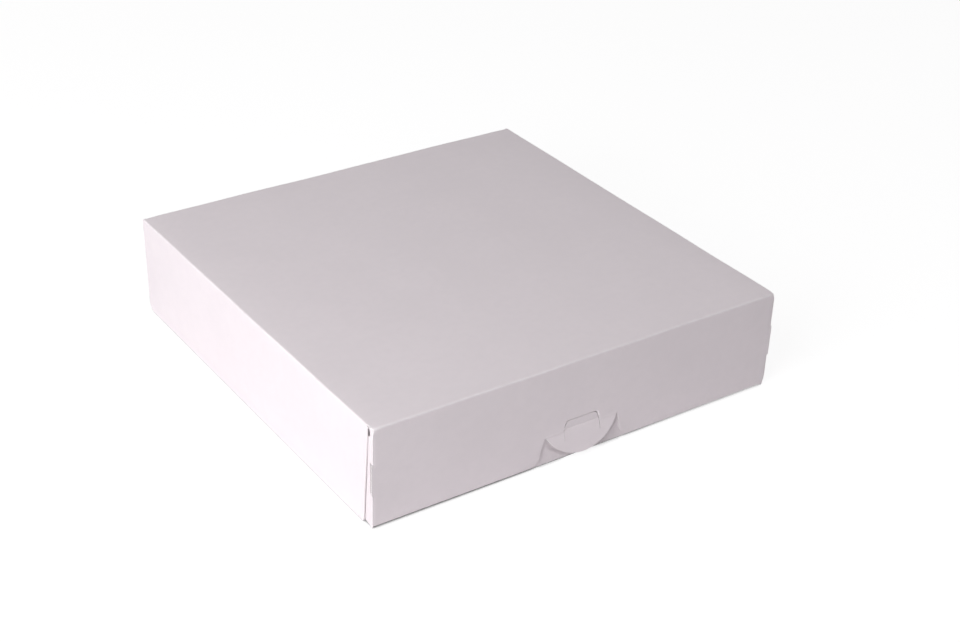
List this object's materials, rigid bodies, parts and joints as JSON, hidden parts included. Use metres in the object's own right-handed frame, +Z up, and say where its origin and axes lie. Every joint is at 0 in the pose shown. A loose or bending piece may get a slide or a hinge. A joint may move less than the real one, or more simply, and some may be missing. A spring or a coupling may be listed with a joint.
{
  "type": "cake box",
  "caption": "Flat square cake box folded from one sheet of white paperboard: glued tray, hinged lid with tucked front flap, two side flaps and a half-round latch tab.",
  "frame": {"origin": "centre of the tray's underside, on the surface that the box stands on", "axes": "+Z up, -Y towards the front flap with the latch tab, +X to the right of a person facing the front"},
  "size_m": [0.2206, 0.2229, 0.05],
  "materials": {
    "tray_board": "smooth coated paperboard, plain white",
    "lid_board": "smooth coated paperboard, plain white, soft sheen"
  },
  "bodies": {
    "tray": {"tray": "tray_board"},
    "lid": {"lid": "lid_board"},
    "left_side_flap": {"left_side_flap": "lid_board"},
    "right_side_flap": {"right_side_flap": "lid_board"},
    "latch_tab": {"latch_tab": "lid_board"}
  },
  "joints": [
    {"name": "lid_crease", "type": "hinge", "parent": "tray", "child": "lid", "pos_m": [0, 0.11, 0.05], "axis": [-1, 0, 0], "range_deg": [0, 175]},
    {"name": "left_flap_crease", "type": "hinge", "parent": "lid", "child": "left_side_flap", "pos_m": [-0.11025, 0, 0.05], "axis": [0, 1, 0], "range_deg": [0, 90]},
    {"name": "right_flap_crease", "type": "hinge", "parent": "lid", "child": "right_side_flap", "pos_m": [0.11025, 0, 0.05], "axis": [0, -1, 0], "range_deg": [0, 90]},
    {"name": "latch_crease", "type": "hinge", "parent": "lid", "child": "latch_tab", "pos_m": [-0.001, -0.10975, 0.0148], "axis": [-1, 0, 0], "range_deg": [-19.5, 76.5]}
  ]
}
